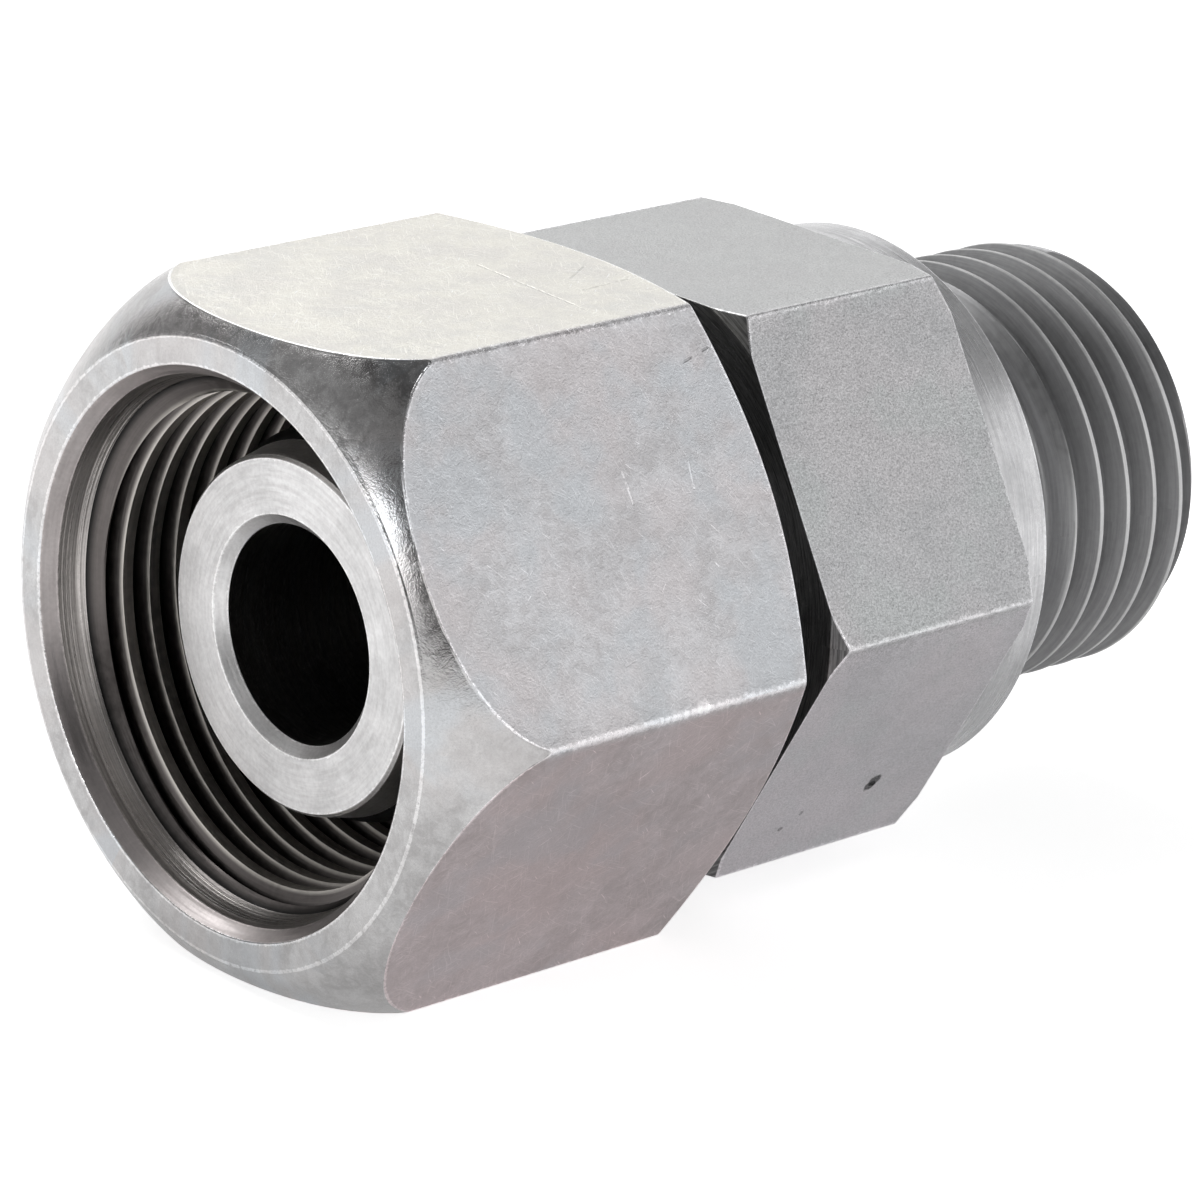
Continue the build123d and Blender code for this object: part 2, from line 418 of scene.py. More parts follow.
def make_piece(name, skins, finishes):
    """One closed mesh piece from skins that meet along their edges."""
    points = []
    faces = []
    count = 0
    for skin_points, skin_faces, _, _ in skins:
        points.append(skin_points)
        faces.append(skin_faces + count)
        count += len(skin_points)
    mesh = bpy.data.meshes.new(name)
    mesh.from_pydata(np.concatenate(points).tolist(), [], np.concatenate(faces).tolist())
    mesh.polygons.foreach_set("material_index", np.concatenate([skin[2] for skin in skins]).astype(np.int32))
    wear = mesh.attributes.new("wear", "FLOAT", "POINT")
    wear.data.foreach_set("value", np.concatenate([skin[3] for skin in skins]).astype(np.float32))
    for finish in finishes:
        mesh.materials.append(finish)
    shape = bmesh.new()
    shape.from_mesh(mesh)
    bmesh.ops.remove_doubles(shape, verts=shape.verts, dist=WELD)
    bmesh.ops.dissolve_degenerate(shape, edges=shape.edges, dist=WELD / 10)
    bmesh.ops.recalc_face_normals(shape, faces=shape.faces)
    shape.to_mesh(mesh)
    shape.free()
    mesh.shade_smooth()
    mesh.set_sharp_from_angle(angle=radians(38))
    piece = bpy.data.objects.new(name, mesh)
    bpy.context.scene.collection.objects.link(piece)
    return piece


def nut_outline(flats, rounding, turned, mouth, inside):
    """Outline of the union nut, from the countersink round the outside to the thread's relief."""
    hexagon = hexagon_radius(NUT_HALF_FLATS, NUT_CORNER_EDGE)
    outside = NUT_HALF_FLATS / cos(SIDE_ANGLE / 2) + ENVELOPE_MARGIN
    rim = NUT_MOUTH_RADIUS + NUT_RIM_WIDTH
    arc_radius = outside - NUT_ROUNDING
    arc_station = NUT_FRONT + sqrt(NUT_ROUNDING**2 - (rim - arc_radius) ** 2)
    rim_reach = NUT_ROUNDING - NUT_RIM_EDGE
    rim_angle = asin((arc_station - NUT_FRONT - NUT_RIM_EDGE) / rim_reach)
    rim_radius = arc_radius + rim_reach * cos(rim_angle)
    corners = [
        Corner(NUT_FRONT + NUT_COUNTERSINK_DEPTH, NUT_THREAD_RADIUS, finish=inside),
        Corner(NUT_FRONT + NUT_MOUTH_CHAMFER, NUT_COUNTERSINK_RADIUS, SHARP_EDGE, mouth),
        Corner(NUT_FRONT, NUT_MOUTH_RADIUS, SOFT_EDGE, rounding),
    ]
    for step in range(RIM_RINGS + 1):
        bend = pi / 2 + (rim_angle - pi / 2) * step / RIM_RINGS
        corners.append(Corner(
            NUT_FRONT + NUT_RIM_EDGE * (1 - sin(bend)),
            rim_radius + NUT_RIM_EDGE * cos(bend),
            finish=rounding,
            burnish=1.0 if 0 < step < RIM_RINGS else 0.6,
        ))
    flat_angle = np.arccos((hexagon - arc_radius) / NUT_ROUNDING)
    for step in range(1, ARC_RINGS + 1):
        bend = rim_angle + (flat_angle - rim_angle) * step / ARC_RINGS
        last = step == ARC_RINGS
        corners.append(Corner(
            arc_station - NUT_ROUNDING * np.sin(bend),
            arc_radius + NUT_ROUNDING * np.cos(bend),
            NUT_EDGE if last else 0.0,
            flats if last else rounding,
            faceted=last,
        ))
    rear_rim = NUT_HALF_FLATS / cos(SIDE_ANGLE / 2) - NUT_REAR_TRIM
    hole = NECK_RADIUS + NUT_HOLE_CLEARANCE
    shoulder_rear = WIRE_STATION + SHOULDER_BEHIND_WIRE
    shoulder_front = shoulder_rear - (NUT_RELIEF_RADIUS - hole)
    thread_end = shoulder_front - NUT_RELIEF_LENGTH + NUT_RELIEF_RADIUS - NUT_CREST_RADIUS
    corners += [
        Corner(NUT_REAR - (hexagon - rear_rim) * tan(CORNER_CHAMFER), hexagon, SOFT_EDGE, flats),
        Corner(NUT_REAR, rear_rim, SHARP_EDGE, turned),
        Corner(NUT_REAR, hole + NUT_HOLE_CHAMFER, SHARP_EDGE, turned),
        Corner(NUT_REAR - NUT_HOLE_CHAMFER, hole, SHARP_EDGE, inside),
        Corner(shoulder_rear, hole, SHARP_EDGE, inside),
        Corner(shoulder_front, NUT_RELIEF_RADIUS, SHARP_EDGE, inside),
        Corner(thread_end, NUT_RELIEF_RADIUS, finish=inside),
    ]
    return corners, thread_end


def make_nut(tree, flats, rounding, turned, mouth, recess, thread):
    """The union nut with its internal thread."""
    corners, thread_end = nut_outline(0, 1, 2, 3, 4)
    sizes = {
        "Start": NUT_FRONT + NUT_COUNTERSINK_DEPTH,
        "End": thread_end,
        "Start radius": NUT_THREAD_RADIUS,
        "End radius": NUT_RELIEF_RADIUS,
        "Root radius": NUT_THREAD_RADIUS,
        "Crest radius": NUT_CREST_RADIUS,
        "Pitch": NUT_PITCH,
        "Offset": NUT_THREAD_OFFSET,
        "Root flat": 0.125,
        "Crest flat": 0.375,
        "Roundness": 0.0,
        "Side": -1.0,
    }
    skins = [skin_of(corners), thread_skin(tree, thread, 5, **sizes)]
    return make_piece("union_nut", skins, [flats, rounding, turned, mouth, recess, thread])


def hexagon_corners(flats, shaded_face_finish, turned):
    """Outline of the body's hexagon, from its front face to its rear face. The front face's chamfer takes the
    shaded face finish, a dark copy of the steel that paints the shade behind the nut.
    """
    hexagon = hexagon_radius(BODY_HALF_FLATS, BODY_CORNER_EDGE)
    face_radius = BODY_HALF_FLATS / cos(SIDE_ANGLE / 2) - BODY_CORNER_TRIM
    face = np.minimum(hexagon - SHARP_EDGE / 2, face_radius)
    run = (hexagon - face) * tan(CORNER_CHAMFER)
    front = -COLLAR_LENGTH - HEX_LENGTH
    rear = -COLLAR_LENGTH
    return [
        Corner(front, face, SOFT_EDGE, shaded_face_finish),
        Corner(front + run, hexagon, SOFT_EDGE, flats, faceted=True),
        Corner(rear - run, hexagon, SOFT_EDGE, flats),
        Corner(rear, face, SHARP_EDGE, turned),
    ]


def cone_radius(station):
    """Radius of the sealing cone at a station."""
    cone_end = TIP + CONE_LENGTH
    return NECK_RADIUS - (cone_end - station) * tan(CONE_HALF_ANGLE)


def body_outline(flats, turned, shaded_hex_face, nipple, shaded_bore):
    """Outline of the one-piece body, from the stud's end through the bore to the undercut."""
    groove_front = ORING_STATION - ORING_THICKNESS / 2 - ORING_SIDE_CLEARANCE
    groove_rear = ORING_STATION + ORING_THICKNESS / 2 + ORING_SIDE_CLEARANCE
    groove_floor = ORING_OUTER - ORING_THICKNESS
    wire_reach = WIRE_RADIUS + WIRE_GROOVE_CLEARANCE
    hex_front = -COLLAR_LENGTH - HEX_LENGTH
    corners = [
        Corner(STUD_END, UNDERCUT_RADIUS, finish=turned),
        Corner(STUD_END, BORE_RADIUS + BORE_STUD_CHAMFER, SHARP_EDGE, turned),
        # The bore takes a dark copy of the steel: painted shade inside the tube.
        Corner(STUD_END - BORE_STUD_CHAMFER, BORE_RADIUS, SHARP_EDGE, shaded_bore),
        Corner(TIP + BORE_TIP_CHAMFER, BORE_RADIUS, SHARP_EDGE, nipple),
        Corner(TIP, BORE_RADIUS + BORE_TIP_CHAMFER, SHARP_EDGE, nipple),
        Corner(TIP, cone_radius(TIP) - TIP_EDGE, SHARP_EDGE, nipple),
        Corner(TIP + TIP_EDGE, cone_radius(TIP), SHARP_EDGE, nipple),
        Corner(groove_front, cone_radius(groove_front), SHARP_EDGE, nipple),
        Corner(groove_front, groove_floor, SHARP_EDGE, nipple),
        Corner(groove_rear, groove_floor, SHARP_EDGE, nipple),
        Corner(groove_rear, cone_radius(groove_rear), SHARP_EDGE, nipple),
        Corner(TIP + CONE_LENGTH, NECK_RADIUS, finish=nipple),
    ]
    for step in range(ARC_RINGS + 1):
        bend = pi * step / ARC_RINGS
        station = WIRE_STATION - wire_reach * cos(bend)
        corners.append(Corner(station, NECK_RADIUS - wire_reach * sin(bend), finish=nipple))
    # The hexagon's front face, in the gap behind the nut, takes a dark copy of the steel: painted shade.
    corners.append(Corner(hex_front, NECK_RADIUS, SHARP_EDGE, shaded_hex_face))
    corners += hexagon_corners(flats, shaded_hex_face, turned)
    corners += [
        Corner(-COLLAR_LENGTH, COLLAR_RADIUS - 2 * SHARP_EDGE, finish=turned),
        Corner(-COLLAR_LENGTH + SHARP_EDGE, COLLAR_RADIUS, finish=turned),
        Corner(-COLLAR_EDGE, COLLAR_RADIUS, SHARP_EDGE, turned),
        Corner(0.0, COLLAR_RADIUS - COLLAR_EDGE, SHARP_EDGE, turned),
        Corner(0.0, UNDERCUT_RADIUS, SHARP_EDGE, turned),
        Corner(UNDERCUT_LENGTH, UNDERCUT_RADIUS, finish=turned),
    ]
    return corners


def make_body(tree, flats, turned, shaded_hex_face, nipple, shaded_bore, thread):
    """The one-piece body with its stud thread."""
    sizes = {
        "Start": UNDERCUT_LENGTH,
        "End": STUD_END,
        "Start radius": UNDERCUT_RADIUS,
        "End radius": UNDERCUT_RADIUS,
        "Root radius": STUD_ROOT_RADIUS,
        "Crest radius": STUD_RADIUS,
        "Pitch": STUD_PITCH,
        "Offset": STUD_THREAD_OFFSET,
        "Root flat": 0.25,
        "Crest flat": 0.125,
        "Roundness": 0.5,
        "Side": 1.0,
    }
    skins = [skin_of(body_outline(0, 1, 2, 3, 4)), thread_skin(tree, thread, 5, **sizes)]
    return make_piece("hexagon_body", skins, [flats, turned, shaded_hex_face, nipple, shaded_bore, thread])


def new_finish(name):
    """An empty material with its shader, and the place that its patterns read."""
    finish = bpy.data.materials.new(name)
    finish.use_nodes = True
    tree = finish.node_tree
    tree.nodes.clear()
    shader = add_node(tree, "ShaderNodeBsdfPrincipled")
    add_node(tree, "ShaderNodeOutputMaterial", {"Surface": shader.outputs[0]})
    place = add_node(tree, "ShaderNodeTexCoord").outputs["Object"]
    return finish, tree, shader, place


def set_shader(tree, shader, colour, roughness, height, depth, metallic=1.0):
    """Feeds a shader. The bump is as deep as its depth, in metres, where the height is 1."""
    tree.links.new(colour, shader.inputs["Base Color"])
    shader.inputs["Metallic"].default_value = metallic
    tree.links.new(roughness, shader.inputs["Roughness"])
    bump = add_node(tree, "ShaderNodeBump", {"Strength": 1.0, "Distance": depth, "Height": height})
    tree.links.new(bump.outputs[0], shader.inputs["Normal"])


def noise(tree, place, scale, detail=3.0, roughness=0.55, distortion=0.0):
    """Noise of 0 to 1 about 0.5, at a scale in features per metre."""
    return add_node(tree, "ShaderNodeTexNoise", {
        "Vector": place,
        "Scale": scale,
        "Detail": detail,
        "Roughness": roughness,
        "Distortion": distortion,
    }).outputs[0]


def spread(tree, value, low, high, to_low=0.0, to_high=1.0):
    """Value stretched from one range to another, with soft ends."""
    return add_node(tree, "ShaderNodeMapRange", {
        "Value": value,
        "From Min": low,
        "From Max": high,
        "To Min": to_low,
        "To Max": to_high,
    }, interpolation_type="SMOOTHSTEP").outputs[0]


def mix_colour(tree, share, first, second, blend_type="MIX"):
    """Mix of two colours, which are tuples or sockets."""
    made = add_node(tree, "ShaderNodeMix", data_type="RGBA", blend_type=blend_type)
    for number, value in ((0, share), (6, first), (7, second)):
        if isinstance(value, bpy.types.NodeSocket):
            tree.links.new(value, made.inputs[number])
        else:
            made.inputs[number].default_value = value if number == 0 else (*value, 1.0)
    return made.outputs[2]


def scaled(tree, vector, amount):
    """Colour or vector times an amount."""
    return add_node(tree, "ShaderNodeVectorMath", {0: vector, "Scale": amount}, operation="SCALE").outputs[0]


def measured(tree, operation, *vectors):
    """Number that a vector math node gives, such as a distance."""
    made = add_node(tree, "ShaderNodeVectorMath", dict(enumerate(vectors)), operation=operation)
    return made.outputs["Value"]


def wear_of(tree):
    """Wear that the mesh carries, 0 to 1. On a thread it is the height over the root, which also sets painted
    shade.
    """
    return add_node(tree, "ShaderNodeAttribute", attribute_name="wear").outputs["Fac"]


def worn(tree, place):
    """Wear along the edges, broken up by noise."""
    rough = noise(tree, place, WEAR_BREAKS, detail=4.0, roughness=0.75)
    return spread(tree, calc(tree, "ADD", wear_of(tree), calc(tree, "MULTIPLY", rough, 1.6)), 1.5, 1.85)


def turned_place(tree, place, stretch):
    """Place along and across the axis, in which a pattern is drawn out around the axis."""
    parts = parts_of(tree, place)
    y = parts["Y"]
    z = parts["Z"]
    radius = calc(tree, "SQRT", calc(tree, "ADD", calc(tree, "MULTIPLY", y, y), calc(tree, "MULTIPLY", z, z)))
    arc = calc(tree, "MULTIPLY", calc(tree, "ARCTAN2", z, y), stretch)
    return place_of(tree, parts["X"], radius, arc)


def flat_place(tree, place, half_flats):
    """Place on the nearest hexagon flat: station, distance across, and a layer of its own for each flat."""
    parts = parts_of(tree, place)
    y = parts["Y"]
    z = parts["Z"]
    turns = calc(tree, "DIVIDE", calc(tree, "SUBTRACT", calc(tree, "ARCTAN2", z, y), pi / 2), SIDE_ANGLE)
    flat = calc(tree, "ROUND", turns)
    normal = calc(tree, "ADD", calc(tree, "MULTIPLY", flat, SIDE_ANGLE), pi / 2)
    upwards = calc(tree, "MULTIPLY", z, calc(tree, "COSINE", normal))
    sideways = calc(tree, "MULTIPLY", y, calc(tree, "SINE", normal))
    across = calc(tree, "SUBTRACT", upwards, sideways)
    return place_of(tree, parts["X"], across, calc(tree, "MULTIPLY", flat, half_flats))


def scratches(tree, flat, angles, length, width, amount):
    """Short hair scratches on a flat: thin bent streaks of noise, at several angles."""
    clouds = add_node(tree, "ShaderNodeTexNoise", {"Vector": flat, "Scale": SCRATCH_BENDS, "Detail": 1.0})
    bend = scaled(tree, clouds.outputs["Color"], 0.5 * length)
    bent = add_node(tree, "ShaderNodeVectorMath", {0: flat, 1: bend}, operation="ADD").outputs[0]
    total = None
    for number, angle in enumerate(angles):
        turn = {"Vector": bent, "Angle": angle}
        turned = add_node(tree, "ShaderNodeVectorRotate", turn, rotation_type="Z_AXIS").outputs[0]
        drawn = add_node(tree, "ShaderNodeMapping", {
            "Vector": turned,
            "Location": (0.0, 0.0, 7.0 * number),
            "Scale": (1 / length, 1 / width, 1 / length),
        }).outputs[0]
        streak = spread(tree, noise(tree, drawn, 1.0, detail=0.0), 1 - amount, 1 - amount + 0.05)
        total = streak if total is None else calc(tree, "MAXIMUM", total, streak)
    return total


def spot(tree, place, centre, size):
    """Mask of a small ragged spot: 1 at its centre, 0 outside its size."""
    away = measured(tree, "DISTANCE", place, centre)
    rough = calc(tree, "MULTIPLY", calc(tree, "SUBTRACT", noise(tree, place, 2.2 / size), 0.5), 0.5 * size)
    return spread(tree, calc(tree, "ADD", away, rough), 0.35 * size, 0.6 * size, 1.0, 0.0)


def gouge(tree, place, start, end):
    """Mask of one straight scratch between two places, broken up by noise."""
    start = Vector(start)
    run = Vector(end) - start
    from_start = add_node(tree, "ShaderNodeVectorMath", {0: place, 1: start}, operation="SUBTRACT").outputs[0]
    along = measured(tree, "DOT_PRODUCT", from_start, run / run.length_squared)
    share = calc(tree, "ADD", along, 0.0, clamp=True)
    away = measured(tree, "DISTANCE", from_start, scaled(tree, run, share))
    line = spread(tree, away, 0.3 * GOUGE_WIDTH, 0.6 * GOUGE_WIDTH, 1.0, 0.0)
    return calc(tree, "MULTIPLY", line, spread(tree, noise(tree, place, GOUGE_BREAKS), 0.35, 0.55))


@dataclass
class Plating:
    """Colours of a zinc plating, the painted light of its upper flat and its lower flats, and the size and
    strength of its grain.
    """
    light: tuple
    dark: tuple
    warm: tuple
    cool: tuple
    upper: tuple
    lower: tuple
    grain_size: float
    grain_strength: float
    grain_on_front: float
    scratch_strength: float
    roughness: float
    relief: float
    chipping: float


def plating_colour(tree, plating, flat, cloud, crystal, blotch):
    """Crystals and blotches between light and dark, under warm and cool clouds."""
    mottle = calc(tree, "MULTIPLY_ADD", crystal, 0.55, calc(tree, "MULTIPLY", blotch, 0.45))
    colour = mix_colour(tree, mottle, plating.dark, plating.light)
    colour = mix_colour(tree, calc(tree, "MULTIPLY", cloud, 0.5), colour, plating.warm)
    cool = spread(tree, noise(tree, flat, COOL_CLOUDS, detail=3.0), 0.5, 0.66)
    return mix_colour(tree, calc(tree, "MULTIPLY", cool, 0.6), colour, plating.cool)


def towards_side(tree, parts, sideways):
    """Distance along the normal of an upper side flat, less what a sideways distance takes off."""
    upwards = calc(tree, "MULTIPLY", parts["Z"], SIDE_FLAT_UP)
    return calc(tree, "SUBTRACT", upwards, calc(tree, "MULTIPLY", sideways, SIDE_FLAT_OUT))


def painted_flat_light(tree, plating, half_flats, parts, blotch, colour):
    """Painted light by flat: the upper flat painted paler, as light falls on it, and the lower ones
    multiplied by a painted colour that shades the nut's and lifts the body's.
    """
    over_side = towards_side(tree, parts, calc(tree, "ABSOLUTE", parts["Y"]))
    upper_lit_share = spread(tree, over_side, 0.0, 0.02 * half_flats)
    upper_lit_colour = mix_colour(tree, calc(tree, "MULTIPLY", blotch, 0.25), plating.upper, colour)
    colour = mix_colour(tree, upper_lit_share, colour, upper_lit_colour)
    lower_light_share = spread(tree, parts["Z"], -0.04 * half_flats, 0.0, 1.0, 0.0)
    return mix_colour(tree, lower_light_share, colour, mix_colour(tree, 1.0, colour, plating.lower, "MULTIPLY"))


def plated_finish(name, plating, half_flats, marks=(), gouges=(), on_flats=True):
    """Satin zinc plating on hexagon flats: fine blotches, grain, hair scratches and worn edges, with painted
    light that differs by flat.
    """
    finish, tree, shader, place = new_finish(name)
    flat = flat_place(tree, place, half_flats)
    parts = parts_of(tree, place)
    crystal = noise(tree, place, CRYSTALS, detail=4.0, roughness=0.7, distortion=0.5)
    crystal = spread(tree, crystal, 0.36, 0.64)
    blotch = spread(tree, noise(tree, place, BLOTCHES, detail=4.0, roughness=0.65), 0.38, 0.62)
    cloud = spread(tree, noise(tree, place, WARM_CLOUDS, detail=2.0), 0.4, 0.62)
    grain = noise(tree, place, 1 / plating.grain_size, detail=2.0, roughness=0.8)
    pits = spread(tree, noise(tree, place, 0.7 / plating.grain_size, detail=2.0, roughness=0.7), 0.6, 0.72)
    chips = noise(tree, place, EDGE_CHIPS, detail=5.0, roughness=0.7)
    edge = worn(tree, place)

    colour = plating_colour(tree, plating, flat, cloud, crystal, blotch)
    speckle = calc(tree, "SUBTRACT", spread(tree, grain, 0.25, 0.75, -1.0, 1.0), pits)
    speckle = calc(tree, "MULTIPLY", speckle, plating.grain_strength)
    if on_flats:
        # Painted light and shade, flat by flat
        colour = painted_flat_light(tree, plating, half_flats, parts, blotch, colour)

        # The grain shows most on the front flat
        facing = towards_side(tree, parts, parts["Y"])
        showing = spread(tree, facing, 0.85 * half_flats, 0.98 * half_flats, 1.0, plating.grain_on_front)
        speckle = calc(tree, "MULTIPLY", speckle, showing)
    lift = calc(tree, "ADD", calc(tree, "ADD", speckle, 1.0), calc(tree, "MULTIPLY", edge, 0.45))
    rough = spread(tree, crystal, 0.0, 1.0, plating.roughness - 0.05, plating.roughness + 0.05)
    rough = calc(tree, "SUBTRACT", rough, calc(tree, "MULTIPLY", edge, 0.1))
    chipped = calc(tree, "MULTIPLY", calc(tree, "MULTIPLY", wear_of(tree), chips), plating.chipping)
    height = calc(tree, "ADD", calc(tree, "ADD", grain, calc(tree, "MULTIPLY", crystal, 0.4)), chipped)
    if plating.scratch_strength:
        fine = scratches(tree, flat, (0.3, 1.0, 1.9, 2.6), 1.4 * MM, 0.05 * MM, 0.27)
        deep = scratches(tree, flat, (0.7, 2.3), 1.0 * MM, 0.07 * MM, 0.19)
        scratch = calc(tree, "MAXIMUM", calc(tree, "MULTIPLY", fine, 0.35), deep)
        lift = calc(tree, "ADD", lift, calc(tree, "MULTIPLY", scratch, plating.scratch_strength))
        height = calc(tree, "SUBTRACT", height, calc(tree, "MULTIPLY", scratch, 0.3))
    masks = [(spot(tree, place, centre, size), shade) for centre, size, shade in marks]
    masks += [(gouge(tree, place, start, end), shade) for start, end, shade in gouges]
    for mask, shade in masks:
        lift = calc(tree, "ADD", lift, calc(tree, "MULTIPLY", mask, shade))
        height = calc(tree, "SUBTRACT", height, mask)
    set_shader(tree, shader, scaled(tree, colour, lift), rough, height, plating.relief)
    return finish


def turned_finish(name, light, dark, line_width, base_roughness, line_depth=0.012 * MM, evenness=1.0):
    """Lathe-turned steel: fine lines around the axis, longer with more evenness."""
    finish, tree, shader, place = new_finish(name)
    drawn = turned_place(tree, place, 0.6 * MM / evenness)
    lines = noise(tree, drawn, 1 / line_width, detail=2.0, roughness=0.7)
    blotch = spread(tree, noise(tree, place, TURNED_BLOTCHES, detail=4.0), 0.35, 0.65)
    grain = noise(tree, place, TURNED_GRAIN, detail=2.0)
    colour = mix_colour(tree, spread(tree, lines, 0.3, 0.7), dark, light)
    edge = calc(tree, "MULTIPLY", worn(tree, place), 0.35)
    lift = calc(tree, "ADD", spread(tree, blotch, 0.0, 1.0, 0.92, 1.05), edge)
    lift = calc(tree, "ADD", lift, spread(tree, grain, 0.3, 0.7, -0.05, 0.05))
    rough = spread(tree, lines, 0.3, 0.7, base_roughness + 0.07, base_roughness - 0.07)
    height = calc(tree, "ADD", lines, calc(tree, "MULTIPLY", grain, 0.3))
    set_shader(tree, shader, scaled(tree, colour, lift), rough, height, line_depth)
    return finish


def thread_finish(name, crest, flank, root_shade, crest_start, base_roughness):
    """Cut thread: crests burnished from a share of the depth up, with flanks and roots painted darker towards
    the root, as painted shade.
    """
    finish, tree, shader, place = new_finish(name)
    rise = wear_of(tree)
    lines = noise(tree, turned_place(tree, place, 0.4 * MM), THREAD_LINES, detail=2.0, roughness=0.7)
    grain = noise(tree, place, THREAD_GRAIN, detail=3.0)
    # Painted shade: flanks and roots darker with depth, nearly black in the nut's thread.
    colour = mix_colour(tree, spread(tree, rise, 0.0, 0.45), root_shade, flank)
    colour = mix_colour(tree, spread(tree, rise, crest_start, 1.0), colour, crest)
    streaks = spread(tree, lines, 0.3, 0.7, 0.9, 1.08)
    lift = calc(tree, "ADD", streaks, spread(tree, grain, 0.3, 0.7, -0.06, 0.06))
    rough = spread(tree, grain, 0.3, 0.7, base_roughness - 0.05, base_roughness + 0.05)
    set_shader(tree, shader, scaled(tree, colour, lift), rough, lines, 0.008 * MM)
    return finish


def rubber_finish():
    """Black sealing rubber with a faint bloom."""
    finish, tree, shader, place = new_finish("seal_rubber")
    bloom = spread(tree, noise(tree, place, RUBBER_BLOOM, detail=4.0), 0.4, 0.75)
    colour = mix_colour(tree, bloom, (0.006, 0.006, 0.006), (0.016, 0.016, 0.016))
    shader.inputs["Specular IOR Level"].default_value = 0.12
    rough = spread(tree, bloom, 0.0, 1.0, 0.5, 0.7)
    set_shader(tree, shader, colour, rough, noise(tree, place, RUBBER_GRAIN), 0.01 * MM, metallic=0.0)
    return finish


def wire_finish():
    """Drawn spring wire, with lines along it."""
    finish, tree, shader, place = new_finish("spring_wire")
    lines = noise(tree, turned_place(tree, place, 0.8 * MM), WIRE_LINES, detail=2.0)
    colour = mix_colour(tree, spread(tree, lines, 0.3, 0.7), (0.3, 0.3, 0.31), (0.46, 0.46, 0.46))
    set_shader(tree, shader, colour, spread(tree, lines, 0.3, 0.7, 0.35, 0.25), lines, 0.006 * MM)
    return finish


def dress(node, finish):
    """Gives a CAD node's object its finish."""
    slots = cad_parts[node].material_slots
    if not slots:
        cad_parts[node].data.materials.append(finish)
    for slot in slots:
        slot.material = finish
    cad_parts[node].data.shade_smooth()


def make_floor():
    """Plain pale floor under the nut's lower flat."""
    mesh = bpy.data.meshes.new("floor")
    corners = [(x * FLOOR_REACH, y * FLOOR_REACH, FLOOR) for x, y in ((-1, -1), (1, -1), (1, 1), (-1, 1))]
    mesh.from_pydata(corners, [], [(0, 1, 2, 3)])
    floor = bpy.data.objects.new("floor", mesh)
    bpy.context.scene.collection.objects.link(floor)
    finish, tree, shader, place = new_finish("floor")
    path = add_node(tree, "ShaderNodeLightPath").outputs
    mirrored = calc(tree, "MAXIMUM", path["Is Glossy Ray"], path["Is Transmission Ray"])
    seen = calc(tree, "MULTIPLY", path["Is Camera Ray"], FLOOR_WHITE)
    glow = spread(tree, measured(tree, "LENGTH", place), *FLOOR_GLOW_EDGE, *FLOOR_GLOW)
    shader.inputs["Base Color"].default_value = (0.8, 0.8, 0.8, 1.0)
    shader.inputs["Emission Color"].default_value = (1.0, 1.0, 1.0, 1.0)
    lift = calc(tree, "ADD", seen, calc(tree, "MULTIPLY", mirrored, glow))
    tree.links.new(lift, shader.inputs["Emission Strength"])
    shader.inputs["Roughness"].default_value = 0.9
    shader.inputs["Specular IOR Level"].default_value = 0.1
    mesh.materials.append(finish)


def make_world():
    """Light tent: white at the horizon, dim overhead, with the camera's opening and a gap behind."""
    world = bpy.data.worlds.new("studio")
    bpy.context.scene.world = world
    world.use_nodes = True
    tree = world.node_tree
    tree.nodes.clear()
    direction = add_node(tree, "ShaderNodeTexCoord").outputs["Generated"]
    parts = parts_of(tree, direction)
    left = calc(tree, "MAXIMUM", calc(tree, "MULTIPLY", parts["X"], -TENT_LEFT_SLOPE), 0.0)
    facing = measured(tree, "DOT_PRODUCT", direction, BACKDROP_SIDE)
    level = spread(tree, facing, *BACKDROP_EDGE, TENT_FRONT, 1.0)
    height = calc(tree, "ADD", parts["Z"], left)
    level = calc(tree, "MULTIPLY", level, spread(tree, height, *CEILING_EDGE, 1.0, TENT_CEILING))
    level = calc(tree, "MULTIPLY", level, spread(tree, parts["Z"], *ZENITH_EDGE, 1.0, TENT_ZENITH))
    for towards, outer, inner, dark in (CAMERA_OPENING, REAR_GAP):
        near = measured(tree, "DOT_PRODUCT", direction, towards)
        level = calc(tree, "MULTIPLY", level, spread(tree, near, outer, inner, 1.0, dark))
    seen = add_node(tree, "ShaderNodeLightPath").outputs["Is Camera Ray"]
    level = calc(tree, "MAXIMUM", level, seen)
    tent = add_node(tree, "ShaderNodeBackground", {"Color": (1.0, 1.0, 1.0, 1.0), "Strength": level})
    add_node(tree, "ShaderNodeOutputWorld", {"Surface": tent.outputs[0]})


def make_lamp(name, place, size, power):
    """Soft square lamp aimed at the fitting."""
    lamp = bpy.data.lights.new(name, "AREA")
    lamp.shape = "SQUARE"
    lamp.size = size
    lamp.energy = power
    holder = bpy.data.objects.new(name, lamp)
    holder.location = place
    holder.rotation_euler = (-Vector(place)).to_track_quat("-Z", "Y").to_euler()
    bpy.context.scene.collection.objects.link(holder)


def make_camera():
    """Camera at the photograph's viewing angle."""
    camera = bpy.data.cameras.new("camera")
    camera.lens = CAMERA_LENS
    camera.clip_start = 0.02
    camera.clip_end = 20.0
    holder = bpy.data.objects.new("camera", camera)
    aim = (CAMERA_TARGET - CAMERA_PLACE).to_track_quat("-Z", "Y").to_matrix()
    turn = aim @ Matrix.Rotation(CAMERA_ROLL, 3, "Z")
    holder.matrix_world = Matrix.Translation(CAMERA_PLACE) @ turn.to_4x4()
    bpy.context.scene.collection.objects.link(holder)
    bpy.context.scene.camera = holder


